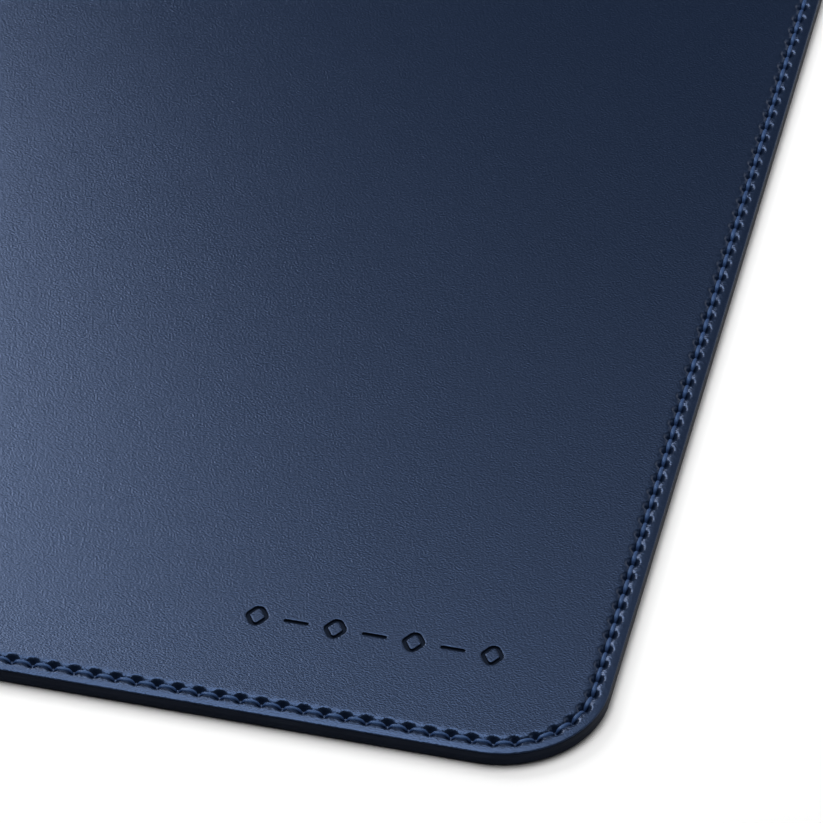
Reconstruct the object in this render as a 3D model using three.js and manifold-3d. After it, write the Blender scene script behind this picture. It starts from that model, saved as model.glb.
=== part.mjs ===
// A stitched leather desk mat: two sheets bonded to a thin stiffening core, a sealed edge
// and a lockstitch seam all the way round. Lengths are in millimetres, +Z is up. The mat
// lies on the plane z = 0, centred on the origin, with its long sides along X.

import * as THREE from "three";
import { mergeVertices } from "three/addons/utils/BufferGeometryUtils.js";
import Module from "manifold-3d";

const wasm = await Module();
wasm.setup();

// Outline of the whole mat, with its edge coat.
const MAT_LENGTH = 585;
const MAT_WIDTH = 310;
const CORNER_RADIUS = 18;
const CORNER_SEGMENTS = 8;

// Layers, from the surface that the mat rests on to its working surface.
const BACKING_THICKNESS = 1.25;
const CORE_THICKNESS = 0.5;
const FACE_THICKNESS = 1.25;
const CORE_BOTTOM = BACKING_THICKNESS;
const FACE_BOTTOM = CORE_BOTTOM + CORE_THICKNESS;
const FACE_TOP = FACE_BOTTOM + FACE_THICKNESS;

// The edge coat is a band painted round the cut edges. It stops short of both faces.
const COAT_THICKNESS = 0.3;
const COAT_STOP = 0.25;
const COAT_GAP = 0.05;
const SHEET_INSET = COAT_THICKNESS + COAT_GAP;

// The seam lies in a shallow groove on each side of the mat.
const SEAM_INSET = 2.67;
const GROOVE_WIDTH = 1.5;
const GROOVE_DEPTH = 0.625;
const THREAD_WIDTH = 0.9;
const THREAD_CHAMFER = 0.2;
const NEEDLE_THREAD_HEIGHT = 0.75;
const BOBBIN_THREAD_HEIGHT = 0.5;

// Ornament pressed into one corner of the face: open lozenges and short bars in turn.
const ORNAMENT_MARKS = 7;
const ORNAMENT_SPACING = 6.6;
const ORNAMENT_FROM_END = 40.2;
const ORNAMENT_FROM_FRONT = 21.7;
const ORNAMENT_DEPTH = 0.3;
const ORNAMENT_STROKE = 0.7;
const LOZENGE_HALF_LENGTH = 1.9;
const LOZENGE_HALF_HEIGHT = 2.3;
const BAR_HALF_LENGTH = 2.1;

function addRoundedRectangle(path, inset) {
  const x = MAT_LENGTH / 2 - CORNER_RADIUS;
  const y = MAT_WIDTH / 2 - CORNER_RADIUS;
  const radius = CORNER_RADIUS - inset;
  path.absarc(x, -y, radius, -Math.PI / 2, 0);
  path.absarc(x, y, radius, 0, Math.PI / 2);
  path.absarc(-x, y, radius, Math.PI / 2, Math.PI);
  path.absarc(-x, -y, radius, Math.PI, Math.PI * 1.5);
  path.closePath();
  return path;
}

function extruded(shape, bottom, height, chamfer = 0) {
  const geometry = new THREE.ExtrudeGeometry(shape, {
    depth: height - 2 * chamfer,
    curveSegments: CORNER_SEGMENTS,
    bevelEnabled: chamfer > 0,
    bevelThickness: chamfer,
    bevelSize: chamfer,
    bevelOffset: -chamfer,
    bevelSegments: 1,
  });
  return geometry.translate(0, 0, bottom + chamfer);
}

function sheet(bottom, thickness) {
  return extruded(addRoundedRectangle(new THREE.Shape(), SHEET_INSET), bottom, thickness);
}

function ring(outerInset, innerInset, bottom, height, chamfer = 0) {
  const shape = addRoundedRectangle(new THREE.Shape(), outerInset);
  shape.holes.push(addRoundedRectangle(new THREE.Path(), innerInset));
  return extruded(shape, bottom, height, chamfer);
}

function seamRing(width, bottom, height, chamfer = 0) {
  return ring(SEAM_INSET - width / 2, SEAM_INSET + width / 2, bottom, height, chamfer);
}

function addLozenge(path, x, y, scale) {
  path.moveTo(x + LOZENGE_HALF_LENGTH * scale, y);
  path.lineTo(x, y + LOZENGE_HALF_HEIGHT * scale);
  path.lineTo(x - LOZENGE_HALF_LENGTH * scale, y);
  path.lineTo(x, y - LOZENGE_HALF_HEIGHT * scale);
  path.closePath();
  return path;
}

function lozengeOutline(x, y) {
  const side = Math.hypot(LOZENGE_HALF_LENGTH, LOZENGE_HALF_HEIGHT);
  const centreToSide = (LOZENGE_HALF_LENGTH * LOZENGE_HALF_HEIGHT) / side;
  const shape = addLozenge(new THREE.Shape(), x, y, 1);
  shape.holes.push(addLozenge(new THREE.Path(), x, y, 1 - ORNAMENT_STROKE / centreToSide));
  return shape;
}

function bar(x, y) {
  const shape = new THREE.Shape();
  shape.moveTo(x - BAR_HALF_LENGTH, y - ORNAMENT_STROKE / 2);
  shape.lineTo(x + BAR_HALF_LENGTH, y - ORNAMENT_STROKE / 2);
  shape.lineTo(x + BAR_HALF_LENGTH, y + ORNAMENT_STROKE / 2);
  shape.lineTo(x - BAR_HALF_LENGTH, y + ORNAMENT_STROKE / 2);
  shape.closePath();
  return shape;
}

// The cutters stand above the face, so that each cut opens it cleanly.
function ornamentCutters() {
  const centreX = MAT_LENGTH / 2 - ORNAMENT_FROM_END;
  const centreY = -MAT_WIDTH / 2 + ORNAMENT_FROM_FRONT;
  const cutters = [];
  for (let mark = 0; mark < ORNAMENT_MARKS; mark += 1) {
    const x = centreX + (mark - (ORNAMENT_MARKS - 1) / 2) * ORNAMENT_SPACING;
    const shape = mark % 2 === 0 ? lozengeOutline(x, centreY) : bar(x, centreY);
    cutters.push(extruded(shape, FACE_TOP - ORNAMENT_DEPTH, 2 * ORNAMENT_DEPTH));
  }
  return cutters;
}

function toSolid(geometry) {
  const bare = geometry.clone();
  bare.deleteAttribute("uv");
  bare.deleteAttribute("normal");
  const merged = mergeVertices(bare);
  return new wasm.Manifold(
    new wasm.Mesh({
      numProp: 3,
      vertProperties: new Float32Array(merged.attributes.position.array),
      triVerts: new Uint32Array(merged.index.array),
    }),
  );
}

function toGeometry(solid) {
  const mesh = solid.getMesh();
  const geometry = new THREE.BufferGeometry();
  geometry.setAttribute("position", new THREE.BufferAttribute(mesh.vertProperties, 3));
  geometry.setIndex(new THREE.BufferAttribute(mesh.triVerts, 1));
  geometry.computeVertexNormals();
  return geometry;
}

function cut(geometry, cutters) {
  let solid = toSolid(geometry);
  for (const cutter of cutters) {
    solid = solid.subtract(toSolid(cutter));
  }
  return toGeometry(solid);
}

function faceLeather() {
  const groove = seamRing(GROOVE_WIDTH, FACE_TOP - GROOVE_DEPTH, 2 * GROOVE_DEPTH);
  return cut(sheet(FACE_BOTTOM, FACE_THICKNESS), [groove, ...ornamentCutters()]);
}

function backingSheet() {
  const groove = seamRing(GROOVE_WIDTH, -GROOVE_DEPTH, 2 * GROOVE_DEPTH);
  return cut(sheet(0, BACKING_THICKNESS), [groove]);
}

function edgeCoat() {
  return ring(0, COAT_THICKNESS, COAT_STOP, FACE_TOP - 2 * COAT_STOP);
}

// The needle thread stands a little proud of the face.
function needleThread() {
  const bottom = FACE_TOP - GROOVE_DEPTH;
  return seamRing(THREAD_WIDTH, bottom, NEEDLE_THREAD_HEIGHT, THREAD_CHAMFER);
}

// The bobbin thread stays above the surface that the mat rests on.
function bobbinThread() {
  const bottom = GROOVE_DEPTH - BOBBIN_THREAD_HEIGHT;
  return seamRing(THREAD_WIDTH, bottom, BOBBIN_THREAD_HEIGHT, THREAD_CHAMFER);
}

const navyLeather = new THREE.MeshStandardMaterial({ color: "#33405f", roughness: 0.5, metalness: 0 });
const navySuede = new THREE.MeshStandardMaterial({ color: "#222b42", roughness: 0.95, metalness: 0 });
const greyBoard = new THREE.MeshStandardMaterial({ color: "#6f6a60", roughness: 0.9, metalness: 0 });
const darkCoat = new THREE.MeshStandardMaterial({ color: "#171c2a", roughness: 0.55, metalness: 0 });
const blueThread = new THREE.MeshStandardMaterial({ color: "#3c5687", roughness: 0.6, metalness: 0 });

const pieces = [
  ["backing_sheet", backingSheet(), navySuede],
  ["core_sheet", sheet(CORE_BOTTOM, CORE_THICKNESS), greyBoard],
  ["face_leather", faceLeather(), navyLeather],
  ["edge_coat", edgeCoat(), darkCoat],
  ["needle_thread", needleThread(), blueThread],
  ["bobbin_thread", bobbinThread(), blueThread],
];

const group = new THREE.Group();
for (const [name, geometry, material] of pieces) {
  const mesh = new THREE.Mesh(geometry, material);
  mesh.name = name;
  group.add(mesh);
}

export default group;
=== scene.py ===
"""The looks of a stitched leather desk mat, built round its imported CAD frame.

Lengths are in metres. Every dimension given in millimetres is multiplied by MM. A point of the
border is given by s, its distance along the seam, v, its distance in from the mat's outline, and
h, its height over the surface.
"""

import math

import bpy
import numpy as np
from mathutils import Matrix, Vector
from mathutils.geometry import delaunay_2d_cdt


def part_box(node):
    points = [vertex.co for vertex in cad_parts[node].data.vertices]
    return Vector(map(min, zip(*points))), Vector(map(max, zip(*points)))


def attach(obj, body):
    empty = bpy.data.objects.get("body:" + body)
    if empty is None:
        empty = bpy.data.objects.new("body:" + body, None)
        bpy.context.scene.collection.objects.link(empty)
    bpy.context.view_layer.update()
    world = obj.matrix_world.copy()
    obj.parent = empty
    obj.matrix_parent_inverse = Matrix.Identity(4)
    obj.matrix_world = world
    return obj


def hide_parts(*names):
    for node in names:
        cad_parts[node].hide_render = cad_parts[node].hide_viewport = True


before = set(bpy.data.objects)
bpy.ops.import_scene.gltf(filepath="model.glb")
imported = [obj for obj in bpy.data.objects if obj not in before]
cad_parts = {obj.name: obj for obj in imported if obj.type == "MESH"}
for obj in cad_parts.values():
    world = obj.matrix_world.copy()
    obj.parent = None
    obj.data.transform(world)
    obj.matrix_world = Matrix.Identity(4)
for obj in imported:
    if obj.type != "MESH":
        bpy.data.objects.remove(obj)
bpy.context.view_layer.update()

MM = 0.001

# Read from the frame: the mat's outline, the levels of its layers and the line of its seam.
COAT_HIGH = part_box("edge_coat")[1]
BACKING_LOW, BACKING_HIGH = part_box("backing_sheet")
FACE_LOW, FACE_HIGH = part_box("face_leather")
NEEDLE_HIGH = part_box("needle_thread")[1]
HALF_LENGTH = COAT_HIGH.x
HALF_WIDTH = COAT_HIGH.y
SHEET_INSET = HALF_LENGTH - FACE_HIGH.x
THREAD_RING_WIDTH = 0.9 * MM
SEAM_INSET = HALF_LENGTH - NEEDLE_HIGH.x + THREAD_RING_WIDTH / 2

CORNER_RADIUS = 18 * MM

# The seam: one stitch pitch, and how far before the front right corner's arc one hole lies.
STITCH_PITCH = 3.5 * MM
HOLE_BEFORE_CORNER = 1.4 * MM

# The border of each sheet is a row of cells, one a stitch, between these two insets.
CELL_OUTER = 0.95 * MM
CELL_INNER = 4.7 * MM

# The field inside the border: two loops at its rim, then a grid that keeps clear of other points.
FIELD_MARGINS = [5.2 * MM, 5.9 * MM]
FIELD_SPACING = 14 * MM
FIELD_CLEARANCE = 4 * MM
MERGE_DISTANCE = 1e-7

# Ornament pressed into the front right corner of the face: open lozenges and short bars in turn.
ORNAMENT_MARKS = 7
ORNAMENT_SPACING = 6.6 * MM
ORNAMENT_FROM_END = 40.2 * MM
ORNAMENT_FROM_FRONT = 21.7 * MM
ORNAMENT_X = HALF_LENGTH - ORNAMENT_FROM_END
ORNAMENT_Y = -HALF_WIDTH + ORNAMENT_FROM_FRONT
ORNAMENT_STROKE = 0.7 * MM
LOZENGE_HALF_LENGTH = 1.9 * MM
LOZENGE_HALF_HEIGHT = 2.3 * MM
BAR_HALF_LENGTH = 2.1 * MM
LOZENGE_INNER_RADIUS = 0.45 * MM

# The camera looks down on the front right corner through a long lens. Its lens and sensor are in
# millimetres.
AIM_FROM_END = 46.9 * MM
AIM_FROM_FRONT = 75.6 * MM
CAMERA_AIM = Vector((HALF_LENGTH - AIM_FROM_END, -HALF_WIDTH + AIM_FROM_FRONT, FACE_HIGH.z))
CAMERA_DISTANCE = 1021.8 * MM
CAMERA_AZIMUTH = math.radians(13.495)
CAMERA_ELEVATION = math.radians(42.697)
CAMERA_LENS = 262.7
CAMERA_SENSOR = 36
NEAREST_SEEN = 50 * MM
FARTHEST_SEEN = 20

random = np.random.default_rng(7)


# ---------------------------------------------------------------- the seam's path

STRAIGHT_X = 2 * (HALF_LENGTH - CORNER_RADIUS)
STRAIGHT_Y = 2 * (HALF_WIDTH - CORNER_RADIUS)
SEAM_RADIUS = CORNER_RADIUS - SEAM_INSET
SEAM_ARC = SEAM_RADIUS * math.pi / 2
SEAM_LENGTH = 2 * (STRAIGHT_X + STRAIGHT_Y) + 4 * SEAM_ARC
STITCHES = round(SEAM_LENGTH / STITCH_PITCH)
PITCH = SEAM_LENGTH / STITCHES
FIRST_HOLE = STRAIGHT_X - HOLE_BEFORE_CORNER


def border_points(s, v, z):
    """Points of the border, for arrays that broadcast together.

    s = 0 is where the front edge's straight begins.
    """
    s, v, z = np.broadcast_arrays(np.mod(s, SEAM_LENGTH), v, z)
    points = np.empty(s.shape + (3,))
    points[..., 2] = z
    start = 0.0
    corner_x, corner_y = STRAIGHT_X / 2, STRAIGHT_Y / 2
    sides = [
        (STRAIGHT_X, (corner_x, -corner_y), -math.pi / 2),
        (STRAIGHT_Y, (corner_x, corner_y), 0.0),
        (STRAIGHT_X, (-corner_x, corner_y), math.pi / 2),
        (STRAIGHT_Y, (-corner_x, -corner_y), math.pi),
    ]
    for straight, (x, y), facing in sides:
        # The straight runs up to the corner's centre, and faces along its own outward normal.
        here = (s >= start) & (s <= start + straight)
        back = start + straight - s[here]
        reach = CORNER_RADIUS - v[here]
        out_x, out_y = math.cos(facing), math.sin(facing)
        points[here, 0] = x + out_x * reach + out_y * back
        points[here, 1] = y + out_y * reach - out_x * back
        start += straight
        here = (s > start) & (s < start + SEAM_ARC)
        angle = facing + (s[here] - start) / SEAM_RADIUS
        reach = CORNER_RADIUS - v[here]
        points[here, 0] = x + reach * np.cos(angle)
        points[here, 1] = y + reach * np.sin(angle)
        start += SEAM_ARC
    return points


# ---------------------------------------------------------------- mesh helpers


class MeshBuilder:
    """Collects points and faces. Loops are arrays of point numbers."""

    def __init__(self):
        self.points = []
        self.faces = []
        self.count = 0

    def add(self, points):
        """Adds an array of points of any shape, and returns their numbers in that shape."""
        flat = np.asarray(points, float).reshape(-1, 3)
        numbers = np.arange(self.count, self.count + len(flat))
        self.points.append(flat)
        self.count += len(flat)
        return numbers.reshape(np.asarray(points).shape[:-1])

    def bridge(self, outer, inner):
        """Quads between two closed loops of equal length. Both run counter-clockwise seen from outside."""
        outer_next, inner_next = np.roll(outer, -1, axis=-1), np.roll(inner, -1, axis=-1)
        quads = np.stack([outer, outer_next, inner_next, inner], axis=-1)
        self.faces.extend(quads.reshape(-1, 4).tolist())

    def cap(self, loop):
        self.faces.append(list(map(int, loop)))

    def build(self, name, material, sharp_angle=50, flipped=False):
        mesh = bpy.data.meshes.new(name)
        faces = [face[::-1] for face in self.faces] if flipped else self.faces
        mesh.from_pydata(np.concatenate(self.points), [], faces)
        mesh.polygons.foreach_set("use_smooth", np.ones(len(mesh.polygons), bool))
        mesh.set_sharp_from_angle(angle=math.radians(sharp_angle))
        mesh.validate()
        mesh.materials.append(material)
        piece = bpy.data.objects.new(name, mesh)
        bpy.context.scene.collection.objects.link(piece)
        return piece


def set_point_attribute(piece, name, values):
    attribute = piece.data.attributes.new(name, "FLOAT", "POINT")
    attribute.data.foreach_set("value", np.asarray(values, np.float32))


def bridge_loops(builder, loops, closed):
    """Bridges each loop to the next, and the last to the first when closed."""
    for outer, inner in zip(loops, loops[1:]):
        builder.bridge(outer, inner)
    if closed:
        builder.bridge(loops[-1], loops[0])


# ---------------------------------------------------------------- stitched sheets

# The rim of a sheet, as inset and height in millimetres, from its hidden side wall up to the surface.
RIM_PROFILE = [
    (0.35, -0.42),
    (0.07, -0.36),
    (0.05, -0.31),
    (0.08, -0.25),
    (0.15, -0.20),
    (0.27, -0.16),
    (0.46, -0.125),
    (0.85, -0.07),
]

# Each hole of the face lies in an oval pit, and the thread lies in a bed from pit to pit. Both are
# pairs of distance and depth, with the depth in millimetres. The pit's distance is a share of the
# oval. The bed's is in millimetres from the seam's line, negative towards the edge. The rings are
# the loops of points round the pit, as shares of the oval.
FACE_SEAM = {
    "half_length": 1.68 * MM,
    "half_width": 1.58 * MM,
    "pit": [
        (0.0, 1.2),
        (0.26, 1.1),
        (0.45, 0.7),
        (0.6, 0.36),
        (0.74, 0.13),
        (0.85, 0.05),
        (0.95, 0.005),
        (1.02, 0.0),
    ],
    "bed": [
        (-1.75, 0.056),
        (-1.3, 0.0),
        (-1.05, 0.0),
        (-0.8, 0.06),
        (-0.4, 0.22),
        (0.0, 0.7),
        (0.3, 0.36),
        (0.65, 0.11),
        (1.0, 0.0),
    ],
    "rings": [1.02, 0.95, 0.85, 0.74, 0.6, 0.45, 0.26],
}

# The backing's pits are shallower, because the bobbin thread pulls less.
BACKING_SEAM = {
    "half_length": 1.3 * MM,
    "half_width": 0.95 * MM,
    "pit": [(0.0, 0.6), (0.35, 0.55), (0.7, 0.3), (0.98, 0.05), (1.15, 0.0)],
    "bed": [
        (-0.9, 0.0),
        (-0.7, 0.03),
        (-0.36, 0.3),
        (0.0, 0.7),
        (0.36, 0.3),
        (0.7, 0.03),
        (0.9, 0.0),
    ],
    "rings": [1.15, 0.98, 0.7, 0.35],
}

CELL_EDGE_POINTS = 3

# Where the sides of the cells have points, in millimetres from the seam's line.
BED_STEPS = [-1.3, -0.8, -0.4, 0.3, 0.65, 1.0]


def seam_depth(seam, u, w):
    """How far the sheet is pressed in, at u along the seam from a hole and w across it."""
    share = np.hypot(u / seam["half_length"], w / seam["half_width"])
    pit = np.interp(share, *zip(*seam["pit"]))
    bed = np.interp(w / MM, *zip(*seam["bed"]))
    return np.maximum(pit, bed) * MM


def stitched_border(builder, surface, outward, seam):
    """The cells of one sheet's border.

    Returns its outer and inner edge loops, with two stations a stitch, and the points between them.
    """
    holes = FIRST_HOLE + PITCH * np.arange(STITCHES)

    def add_points(u, w):
        level = surface - outward * seam_depth(seam, u, w)
        return builder.add(border_points(holes[:, None] + u, SEAM_INSET + w, level))

    steps = [step * MM for step in BED_STEPS]
    side_w = np.array([CELL_OUTER - SEAM_INSET, *steps, CELL_INNER - SEAM_INSET])
    edge_u = np.linspace(-PITCH / 2, PITCH / 2, CELL_EDGE_POINTS + 2)[1:-1]
    sides = add_points(np.full(len(side_w), -PITCH / 2), side_w)
    outer = add_points(edge_u, np.full(CELL_EDGE_POINTS, side_w[0]))
    inner = add_points(edge_u, np.full(CELL_EDGE_POINTS, side_w[-1]))
    following = np.roll(sides, -1, axis=0)
    cell = np.concatenate([sides[:, :1], outer, following, inner[:, ::-1], sides[:, :0:-1]], axis=1)
    # The direction of each point of the cell from its hole, in the oval's own measure.
    before, after = np.full(len(side_w), -PITCH / 2), np.full(len(side_w), PITCH / 2)
    cell_u = np.concatenate([before[:1], edge_u, after, edge_u[::-1], before[1:]])
    near, far = np.full(CELL_EDGE_POINTS, side_w[0]), np.full(CELL_EDGE_POINTS, side_w[-1])
    cell_w = np.concatenate([side_w[:1], near, side_w, far, side_w[:0:-1]])
    angles = np.arctan2(cell_w / seam["half_width"], cell_u / seam["half_length"])
    loops = [cell]
    for share in seam["rings"]:
        u = share * seam["half_length"] * np.cos(angles)
        w = share * seam["half_width"] * np.sin(angles)
        loops.append(add_points(u, w))
    bridge_loops(builder, loops, closed=False)
    for floor in loops[-1]:
        builder.cap(floor)
    middle = CELL_EDGE_POINTS // 2
    outer_line = np.stack([sides[:, 0], outer[:, middle]], axis=1).reshape(-1)
    inner_line = np.stack([sides[:, -1], inner[:, middle]], axis=1).reshape(-1)
    return outer_line, inner_line, outer, inner


def half_stitch_stations():
    """Two stations a stitch: the middle of the stitch before each hole, and the hole."""
    holes = FIRST_HOLE + PITCH * np.arange(STITCHES)
    return np.stack([holes - PITCH / 2, holes], axis=1).reshape(-1)


def join_cells(builder, line, cell_line, between, inward):
    """Faces from a loop with two stations a stitch to the cells' edge, which has more points."""
    middle = CELL_EDGE_POINTS // 2
    following, cell_following = np.roll(line, -1), np.roll(cell_line, -1)
    for station in range(len(line)):
        row = between[station // 2]
        points = row[:middle] if station % 2 == 0 else row[middle + 1 :]
        far = [cell_line[station], *points, cell_following[station]]
        near = [line[station], following[station]]
        face = near + far[::-1] if inward else far + near[::-1]
        builder.faces.append(list(map(int, face)))


def stitched_sheet(name, material, surface, hidden, seam, marks=()):
    """One outer sheet of the mat: surface, rim, stitch pits and hidden side, all one closed mesh."""
    outward = 1 if surface > hidden else -1
    builder = MeshBuilder()
    stations = half_stitch_stations()
    rim = [builder.add(border_points(stations, SHEET_INSET, hidden))]
    for inset, height in RIM_PROFILE:
        rim.append(builder.add(border_points(stations, inset * MM, surface + outward * height * MM)))
    outer_line, inner_line, outer, inner = stitched_border(builder, surface, outward, seam)
    margins = [builder.add(border_points(stations, v, surface)) for v in FIELD_MARGINS]
    bridge_loops(builder, rim, closed=False)
    join_cells(builder, rim[-1], outer_line, outer, inward=True)
    join_cells(builder, margins[0], inner_line, inner, inward=False)
    builder.bridge(margins[0], margins[1])
    builder.cap(rim[0][::-1])
    pressed = fill_field(builder, margins[-1], surface, marks)
    piece = builder.build(name, material, flipped=outward < 0)
    weights = np.zeros(builder.count)
    weights[pressed] = 1
    set_point_attribute(piece, "pressed", weights)
    return piece


# ---------------------------------------------------------------- the field and its pressed ornament

# The trough of a pressed stroke, as distance in from the stroke's side and height, in millimetres.
STROKE_PROFILE = [(-0.4, 0.0), (-0.12, 0.0), (-0.04, -0.02), (0.0, -0.08), (0.03, -0.26), (0.07, -0.4)]
CORNER_STEPS = 4

# Points lower than this, in millimetres, take the pressed colour. It is near black: partly the darker
# pressed leather, partly painted shade in the recesses.
PRESSED_HEIGHT = -0.05


def offset_loop(corners, radius):
    """A counter-clockwise loop at one distance round a convex polygon, or a line of two corners."""
    loop = []
    count = len(corners)
    for number in range(count):
        before = corners[number] - corners[number - 1]
        after = corners[(number + 1) % count] - corners[number]
        first = math.atan2(-before[0], before[1])
        turn = (math.atan2(-after[0], after[1]) - first) % (2 * math.pi)
        for step in range(CORNER_STEPS + 1):
            angle = first + turn * step / CORNER_STEPS
            loop.append(corners[number] + radius * np.array([math.cos(angle), math.sin(angle)]))
    return np.array(loop)


def bar_loops(centre):
    """The loops of one bar, from the surface down to its floor, with their heights."""
    half = ORNAMENT_STROKE / 2
    reach = BAR_HALF_LENGTH - half
    corners = np.array([[-reach, 0.0], [reach, 0.0]]) + centre
    return [(offset_loop(corners, half - inset * MM), height) for inset, height in STROKE_PROFILE]


def lozenge_loops(centre):
    """The loops of one open lozenge, from the outside down across its floor and up to its island."""
    outer_radius = ORNAMENT_STROKE + LOZENGE_INNER_RADIUS
    reach, rise = LOZENGE_HALF_LENGTH - outer_radius, LOZENGE_HALF_HEIGHT - outer_radius
    corners = np.array([[reach, 0.0], [0.0, rise], [-reach, 0.0], [0.0, -rise]])
    down = [(outer_radius - inset * MM, height) for inset, height in STROKE_PROFILE]
    up = [(LOZENGE_INNER_RADIUS + inset * MM, height) for inset, height in reversed(STROKE_PROFILE)]
    return [(offset_loop(corners + centre, radius), height) for radius, height in down + up]


def ornament_marks():
    """The loops of every mark, in order along the row."""
    marks = []
    for number in range(ORNAMENT_MARKS):
        shift = (number - (ORNAMENT_MARKS - 1) / 2) * ORNAMENT_SPACING
        centre = np.array([ORNAMENT_X + shift, ORNAMENT_Y])
        marks.append(lozenge_loops(centre) if number % 2 == 0 else bar_loops(centre))
    return marks


def field_grid():
    """Points over the field, so that its triangles are well shaped."""
    reach_x = HALF_LENGTH - FIELD_MARGINS[-1] - FIELD_SPACING / 2
    reach_y = HALF_WIDTH - FIELD_MARGINS[-1] - FIELD_SPACING / 2
    columns = np.linspace(-reach_x, reach_x, round(2 * reach_x / FIELD_SPACING) + 1)
    rows = np.linspace(-reach_y, reach_y, round(2 * reach_y / FIELD_SPACING) + 1)
    grid = [(x, y) for x in columns for y in rows]
    half_row = (ORNAMENT_MARKS - 1) / 2 * ORNAMENT_SPACING + LOZENGE_HALF_LENGTH + FIELD_CLEARANCE
    half_height = LOZENGE_HALF_HEIGHT + FIELD_CLEARANCE
    corner_reach = CORNER_RADIUS - FIELD_MARGINS[-1] - FIELD_CLEARANCE

    def clear(x, y):
        in_ornament = abs(x - ORNAMENT_X) < half_row and abs(y - ORNAMENT_Y) < half_height
        from_corner_x = abs(x) - (HALF_LENGTH - CORNER_RADIUS)
        from_corner_y = abs(y) - (HALF_WIDTH - CORNER_RADIUS)
        in_corner = from_corner_x > 0 and from_corner_y > 0
        past_corner = in_corner and math.hypot(from_corner_x, from_corner_y) > corner_reach
        return not in_ornament and not past_corner

    return [point for point in grid if clear(*point)]


def fill_field(builder, border, surface, marks):
    """Fills the field inside the border loop and presses the marks in. Returns the pressed points."""
    known = [border]
    pressed = []
    rings = []
    for loops in marks:
        heights = [height for _, height in loops]
        numbers = [
            builder.add(np.column_stack([loop, np.full(len(loop), surface + height * MM)]))
            for loop, height in loops
        ]
        bridge_loops(builder, numbers, closed=False)
        rings.append(numbers[0])
        if heights[-1] < 0:
            builder.cap(numbers[-1])
        else:
            rings.append(numbers[-1])
        for loop, height in zip(numbers, heights):
            if height < PRESSED_HEIGHT:
                pressed.extend(loop)
    known.extend(rings)
    grid = builder.add([(x, y, surface) for x, y in field_grid()])
    order = np.concatenate([*known, grid])
    points = np.concatenate(builder.points)
    faces = []
    start = 0
    for loop in known:
        faces.append(list(range(start, start + len(loop))))
        start += len(loop)
    flat = [Vector(points[number][:2]) for number in order]
    _, _, triangles, sources, _, inside = delaunay_2d_cdt(flat, [], faces, 1, MERGE_DISTANCE)
    for triangle, covers in zip(triangles, inside):
        # Even-odd: a stroke's own band lies inside an even number of loops.
        if len(covers) % 2 == 1:
            builder.faces.append([int(order[sources[corner][0]]) for corner in triangle])
    return pressed


# ---------------------------------------------------------------- edge coat

# The coat's section, as inset and height over the resting plane in millimetres, round from its
# hidden top edge.
COAT_SECTION = [
    (0.30, 2.62),
    (0.10, 2.61),
    (0.04, 2.58),
    (0.012, 2.51),
    (0.0, 2.4),
    (0.0, 2.0),
    (0.008, 1.66),
    (0.04, 1.52),
    (0.008, 1.38),
    (0.0, 1.0),
    (0.008, 0.55),
    (0.04, 0.32),
    (0.12, 0.16),
    (0.30, 0.10),
]


def edge_coat(material):
    """A closed band round the cut edges, with a groove along the joint of the layers."""
    builder = MeshBuilder()
    stations = half_stitch_stations()
    loops = []
    for inset, height in COAT_SECTION:
        loops.append(builder.add(border_points(stations, inset * MM, height * MM)))
    bridge_loops(builder, loops[::-1], closed=True)
    return builder.build("edge_coat_painted", material)


# ---------------------------------------------------------------- threads

# A stitch's crest is the height of its strand's centre over the surface, at mid stitch. Towards the
# holes the strand falls by the dive times a power of the distance. Its half length is a share of the
# stitch, and its tips are a share of its radius.
NEEDLE_STITCH = {
    "radius": 0.44 * MM,
    "crest": -0.44 * MM,
    "dive": 1.7 * MM,
    "power": 4.0,
    "half_length": 0.42,
    "rings": 14,
    "sides": 12,
    "tip": 0.6,
}
BOBBIN_STITCH = {
    "radius": 0.3 * MM,
    "crest": -0.42 * MM,
    "dive": 0.3 * MM,
    "power": 2.4,
    "half_length": 0.47,
    "rings": 9,
    "sides": 9,
    "tip": 0.6,
}

# Each strand is twisted from plies, with sharp valleys between them, and narrows at its ends. Its
# first turn, in radians, and its sway across the seam are drawn at random from these spreads.
PLIES = 3
TWIST_A_STITCH = math.radians(150)
PLY_DEPTH = 0.16
PLY_SHARPNESS = 6
END_SHARPNESS = 4
START_SPREAD = 0.25
SWAY_SPREAD = 0.04 * MM
FILAMENTS_ROUND = 24.0


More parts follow.
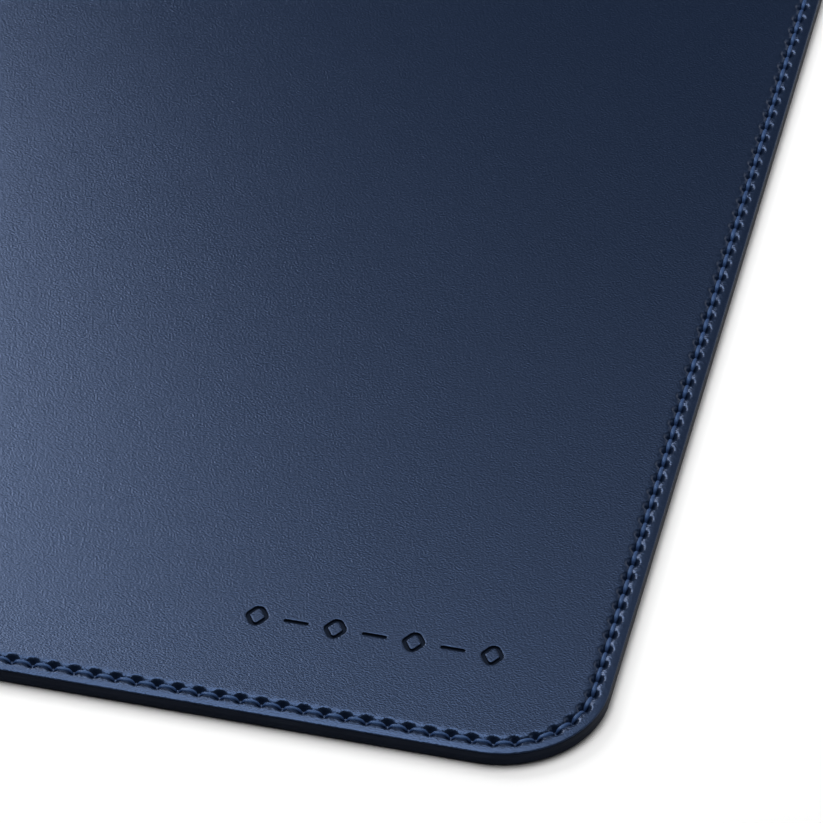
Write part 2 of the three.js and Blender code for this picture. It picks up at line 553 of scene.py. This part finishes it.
def thread_seam(name, material, surface, outward, stitch):
    """A row of stitches: each a twisted strand that rises from one hole and dives into the next."""
    builder = MeshBuilder()
    rings, sides = stitch["rings"], stitch["sides"]
    middles = FIRST_HOLE + PITCH * (np.arange(STITCHES) + 0.5)
    # Rings are closer together towards the ends, where the strand bends most.
    along = np.sin(np.linspace(-math.pi / 2, math.pi / 2, rings)) * stitch["half_length"]
    from_middle = 2 * np.abs(along)
    power, dive = stitch["power"], stitch["dive"]
    steepness = power * dive * from_middle ** (power - 1) * 2 / PITCH
    fall = np.arctan(np.sign(along) * steepness)
    centre_h = stitch["crest"] - dive * from_middle**power
    ease = (np.abs(along) / stitch["half_length"]) ** END_SHARPNESS
    radius = stitch["radius"] * (1 - (1 - stitch["tip"]) * ease)
    turn = 2 * math.pi * np.arange(sides) / sides
    valley = 1 - PLY_DEPTH * np.abs(np.sin(turn * PLIES / 2 + math.pi / 2)) ** PLY_SHARPNESS
    start = random.uniform(-START_SPREAD, START_SPREAD, STITCHES)
    sway = random.uniform(-SWAY_SPREAD, SWAY_SPREAD, STITCHES)
    angle = turn[None, None, :] + (along * TWIST_A_STITCH)[None, :, None] + start[:, None, None]
    reach = radius[None, :, None] * valley[None, None, :]
    across, up = reach * np.cos(angle), reach * np.sin(angle)
    s = middles[:, None, None] + (along * PITCH)[None, :, None] + up * np.sin(fall)[None, :, None]
    v = SEAM_INSET + sway[:, None, None] * (1 - ease)[None, :, None] + across
    h = centre_h[None, :, None] + up * np.cos(fall)[None, :, None]
    numbers = builder.add(border_points(s, v, surface + outward * h))
    for ring in range(rings - 1):
        builder.bridge(numbers[:, ring, :], numbers[:, ring + 1, :])
    for first, last in zip(numbers[:, 0], numbers[:, -1]):
        builder.cap(first[::-1])
        builder.cap(last)
    piece = builder.build(name, material, sharp_angle=80, flipped=outward < 0)
    around = np.broadcast_to(turn / (2 * math.pi), numbers.shape)
    length = np.broadcast_to(along[None, :, None], numbers.shape)
    set_point_attribute(piece, "around", around.reshape(-1))
    set_point_attribute(piece, "along", (length + np.arange(STITCHES)[:, None, None]).reshape(-1))
    return piece


# ---------------------------------------------------------------- materials


class Nodes:
    """A node material with one Principled shader, and short calls to add and link nodes."""

    def __init__(self, name):
        self.material = bpy.data.materials.new(name)
        self.material.use_nodes = True
        self.tree = self.material.node_tree
        self.shader = self.tree.nodes["Principled BSDF"]

    def set(self, **values):
        for name, value in values.items():
            self.shader.inputs[name.replace("_", " ")].default_value = value

    def add(self, kind, inputs=None, **settings):
        node = self.tree.nodes.new(kind)
        for name, value in settings.items():
            setattr(node, name, value)
        if inputs:
            self.fill([node.inputs[name] for name in inputs], inputs.values())
        return node

    def link(self, source, name):
        self.tree.links.new(source, self.shader.inputs[name])

    def position(self, scale=(1, 1, 1), turn=0.0):
        """The place on the object, in metres, stretched and turned about Z."""
        place = self.add("ShaderNodeTexCoord").outputs["Object"]
        return self.add(
            "ShaderNodeMapping", {"Vector": place, "Scale": scale, "Rotation": (0, 0, turn)}
        ).outputs["Vector"]

    def noise(self, vector, scale, detail=2.0, roughness=0.5, distortion=0.0):
        inputs = {"Vector": vector, "Scale": scale, "Detail": detail}
        inputs.update({"Roughness": roughness, "Distortion": distortion})
        return self.add("ShaderNodeTexNoise", inputs).outputs["Fac"]

    def ramp(self, value, stops):
        """A colour ramp. stops are pairs of place and colour."""
        node = self.add("ShaderNodeValToRGB", {"Fac": value})
        elements = node.color_ramp.elements
        while len(elements) < len(stops):
            elements.new(0.5)
        for element, (place, colour) in zip(elements, stops):
            element.position = place
            element.color = rgba(*colour)
        return node.outputs["Color"]

    def fill(self, sockets, values):
        """Links each value that is a socket, and sets each that is a number or a colour."""
        for socket, value in zip(sockets, values):
            if isinstance(value, bpy.types.NodeSocket):
                self.tree.links.new(value, socket)
            else:
                socket.default_value = value

    def mix(self, factor, first, second):
        """A colour mix. The node's colour sockets can only be told apart by their numbers."""
        node = self.add("ShaderNodeMix", data_type="RGBA")
        self.fill((node.inputs[0], node.inputs[6], node.inputs[7]), (factor, first, second))
        return node.outputs[2]

    def maths(self, operation, first, second, third=0.0):
        node = self.add("ShaderNodeMath", operation=operation)
        self.fill(node.inputs, (first, second, third))
        return node.outputs[0]

    def bump(self, height, distance):
        inputs = {"Height": height, "Distance": distance, "Strength": 1.0}
        return self.add("ShaderNodeBump", inputs).outputs["Normal"]


def rgba(red, green, blue):
    return (red, green, blue, 1.0)


LEATHER_ROUGHNESS = 0.28
PRESSED_ROUGHNESS = 0.98
PRESSED_SMOOTHNESS = 0.8


def grained_leather():
    """Navy synthetic leather: a fine embossed grain, slightly lighter on its raised parts.

    Where the ornament is pressed in, it is darker and duller, with most of the grain flattened. The
    darkening is partly the pressed leather's own colour and partly painted shade in the recesses.
    """
    nodes = Nodes("grained_leather")
    nodes.set(Specular_IOR_Level=0.53, Specular_Tint=rgba(0.30, 0.50, 1.0))
    place = nodes.position(scale=(1.0, 1.5, 1.0), turn=math.radians(35))
    grain = nodes.noise(place, 2600, detail=0.4, distortion=0.2)
    patches = nodes.noise(nodes.position(), 18, detail=3)
    tone = nodes.ramp(patches, [(0.3, (0.0042, 0.0085, 0.0205)), (0.7, (0.0050, 0.0097, 0.0230))])
    grained = nodes.mix(nodes.maths("MULTIPLY", grain, 0.5), tone, rgba(0.0062, 0.0118, 0.0275))
    pressed = nodes.add("ShaderNodeAttribute", attribute_name="pressed").outputs["Fac"]
    # The pressed points are near black: partly the darker pressed leather, partly painted shade in the
    # recesses.
    nodes.link(nodes.mix(pressed, grained, rgba(0.0008, 0.0012, 0.002)), "Base Color")
    duller = PRESSED_ROUGHNESS - LEATHER_ROUGHNESS
    nodes.link(nodes.maths("MULTIPLY_ADD", pressed, duller, LEATHER_ROUGHNESS), "Roughness")
    smooth = nodes.maths("SUBTRACT", 1.0, nodes.maths("MULTIPLY", pressed, PRESSED_SMOOTHNESS))
    height = nodes.maths("MULTIPLY", grain, smooth)
    nodes.link(nodes.bump(height, 0.05 * MM), "Normal")
    return nodes.material


def bonded_thread():
    """Blue bonded polyester thread: fine filaments along the strand, with a soft gloss."""
    nodes = Nodes("bonded_thread")
    nodes.set(Roughness=0.45, Specular_IOR_Level=0.35, Specular_Tint=rgba(0.35, 0.6, 1.0))
    around = nodes.add("ShaderNodeAttribute", attribute_name="around").outputs["Fac"]
    along = nodes.add("ShaderNodeAttribute", attribute_name="along").outputs["Fac"]
    across = nodes.maths("MULTIPLY", around, FILAMENTS_ROUND)
    place = nodes.add("ShaderNodeCombineXYZ", {"X": across, "Y": along}).outputs[0]
    filaments = nodes.noise(place, 1.6, detail=3, roughness=0.6)
    tone = nodes.ramp(filaments, [(0.35, (0.018, 0.040, 0.105)), (0.7, (0.030, 0.060, 0.150))])
    nodes.link(tone, "Base Color")
    nodes.link(nodes.bump(filaments, 0.03 * MM), "Normal")
    return nodes.material


def painted_edge():
    """Dark flexible edge paint: slight waves along the edge and fine specks."""
    nodes = Nodes("painted_edge")
    nodes.set(Roughness=0.5, Specular_IOR_Level=0.04, Specular_Tint=rgba(0.6, 0.7, 1.0))
    waves = nodes.noise(nodes.position(scale=(1, 1, 4)), 160, detail=2)
    specks = nodes.noise(nodes.position(), 2200, detail=2)
    tone = nodes.ramp(waves, [(0.3, (0.0058, 0.0084, 0.0158)), (0.7, (0.0086, 0.0120, 0.0215))])
    nodes.link(tone, "Base Color")
    height = nodes.maths("ADD", waves, nodes.maths("MULTIPLY", specks, 0.12))
    nodes.link(nodes.bump(height, 0.05 * MM), "Normal")
    return nodes.material


def suede_backing():
    """Navy microfibre suede: a short brushed nap with soft lighter and darker patches."""
    nodes = Nodes("suede_backing")
    nodes.set(Roughness=0.95, Specular_IOR_Level=0.15, Sheen_Weight=0.5, Sheen_Roughness=0.6)
    nap = nodes.noise(nodes.position(scale=(1, 2.2, 1)), 2400, detail=4, roughness=0.7)
    brushed = nodes.noise(nodes.position(scale=(1, 0.5, 1)), 30, detail=4, distortion=0.8)
    tone = nodes.ramp(brushed, [(0.3, (0.013, 0.019, 0.042)), (0.7, (0.021, 0.030, 0.062))])
    fibres = nodes.mix(nodes.maths("MULTIPLY", nap, 0.5), tone, rgba(0.034, 0.046, 0.085))
    nodes.link(fibres, "Base Color")
    nodes.link(nodes.bump(nap, 0.12 * MM), "Normal")
    return nodes.material


def bonded_board():
    """Grey bonded fibre board: mixed short fibres pressed flat."""
    nodes = Nodes("bonded_board")
    nodes.set(Roughness=0.9, Specular_IOR_Level=0.2)
    fibres = nodes.noise(nodes.position(scale=(1, 3, 1)), 500, detail=6, roughness=0.65, distortion=1.2)
    flecks = nodes.noise(nodes.position(scale=(3, 1, 1)), 900, detail=3)
    tone = nodes.ramp(fibres, [(0.35, (0.10, 0.088, 0.072)), (0.65, (0.21, 0.19, 0.16))])
    flecked = nodes.mix(nodes.maths("MULTIPLY", flecks, 0.4), tone, rgba(0.30, 0.28, 0.24))
    nodes.link(flecked, "Base Color")
    nodes.link(nodes.bump(fibres, 0.1 * MM), "Normal")
    return nodes.material


def white_floor():
    """Plain white matt floor."""
    nodes = Nodes("white_floor")
    nodes.set(Base_Color=rgba(0.9, 0.9, 0.9), Roughness=0.9, Specular_IOR_Level=0.1)
    return nodes.material


# ---------------------------------------------------------------- the mat


def place_piece(piece, node):
    """Fixes a piece to the mat's one body, in place of its CAD node."""
    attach(piece, "root")
    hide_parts(node)
    return piece


leather = grained_leather()
suede = suede_backing()
thread = bonded_thread()

face = stitched_sheet("face_sheet", leather, FACE_HIGH.z, FACE_LOW.z, FACE_SEAM, ornament_marks())
place_piece(face, "face_leather")
backing = stitched_sheet("backing_suede", suede, BACKING_LOW.z, BACKING_HIGH.z, BACKING_SEAM)
place_piece(backing, "backing_sheet")
place_piece(edge_coat(painted_edge()), "edge_coat")
needle = thread_seam("needle_stitches", thread, FACE_HIGH.z, 1, NEEDLE_STITCH)
place_piece(needle, "needle_thread")
bobbin = thread_seam("bobbin_stitches", thread, BACKING_LOW.z, -1, BOBBIN_STITCH)
place_piece(bobbin, "bobbin_thread")

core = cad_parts["core_sheet"]
core.data.materials.clear()
core.data.materials.append(bonded_board())


# ---------------------------------------------------------------- floor, light and camera

FLOOR_REACH = 3.0
FLOOR_GAP = 0.02 * MM


def add_floor():
    """A square pale floor, just under the mat."""
    builder = MeshBuilder()
    level = BACKING_LOW.z - FLOOR_GAP
    signs = [(-1, -1), (1, -1), (1, 1), (-1, 1)]
    corners = [(x * FLOOR_REACH, y * FLOOR_REACH, level) for x, y in signs]
    builder.cap(builder.add(corners))
    floor = builder.build("floor", white_floor())


# The softboxes stand in rows round the camera's aim. Azimuths run clockwise from the mat's back,
# and every box of a row has the same elevation, side and power in watts.
SOFTBOX_DISTANCE = 0.6
LARGE_BOX = 0.3
SMALL_BOX = 0.16
SOFTBOX_ROWS = {
    "overhead": {"elevation": 76, "azimuths": [-120, -60, 0], "side": LARGE_BOX, "watts": 1.0},
    "upper": {"elevation": 57, "azimuths": [-45, -15, 45], "side": LARGE_BOX, "watts": 0.3},
    "key": {"elevation": 40, "azimuths": [-55, -38], "side": SMALL_BOX, "watts": 0.7},
    "low": {"elevation": 24, "azimuths": [-45], "side": SMALL_BOX, "watts": 0.45},
    "fill": {"elevation": 15, "azimuths": [30, 60, 90], "side": LARGE_BOX, "watts": 0.3},
}


def add_softbox(azimuth, elevation, side, watts):
    """A square area light that faces the camera's aim."""
    light = bpy.data.lights.new("softbox", "AREA")
    light.shape = "SQUARE"
    light.size = side
    light.energy = watts
    turn, rise = math.radians(azimuth), math.radians(elevation)
    away = Vector((math.sin(turn) * math.cos(rise), math.cos(turn) * math.cos(rise), math.sin(rise)))
    lamp = bpy.data.objects.new("softbox", light)
    lamp.location = CAMERA_AIM + away * SOFTBOX_DISTANCE
    lamp.rotation_euler = away.to_track_quat("Z", "Y").to_euler()
    bpy.context.scene.collection.objects.link(lamp)


def add_world():
    """A dim grey surround, so that shadows aren't black."""
    world = bpy.data.worlds.new("studio")
    world.use_nodes = True
    world.node_tree.nodes["Background"].inputs["Color"].default_value = rgba(0.03, 0.03, 0.03)
    bpy.context.scene.world = world


def add_camera():
    """The camera stands back from its aim, along its azimuth and elevation."""
    camera = bpy.data.cameras.new("camera")
    camera.lens = CAMERA_LENS
    camera.sensor_width = CAMERA_SENSOR
    camera.clip_start = NEAREST_SEEN
    camera.clip_end = FARTHEST_SEEN
    holder = bpy.data.objects.new("camera", camera)
    back = Vector(
        (
            math.sin(CAMERA_AZIMUTH) * math.cos(CAMERA_ELEVATION),
            -math.cos(CAMERA_AZIMUTH) * math.cos(CAMERA_ELEVATION),
            math.sin(CAMERA_ELEVATION),
        )
    )
    holder.location = CAMERA_AIM + back * CAMERA_DISTANCE
    holder.rotation_euler = (-back).to_track_quat("-Z", "Y").to_euler()
    bpy.context.scene.collection.objects.link(holder)
    bpy.context.scene.camera = holder


add_floor()
add_world()
for row in SOFTBOX_ROWS.values():
    for azimuth in row["azimuths"]:
        add_softbox(azimuth, row["elevation"], row["side"], row["watts"])
add_camera()
bpy.context.scene.view_settings.view_transform = "Standard"
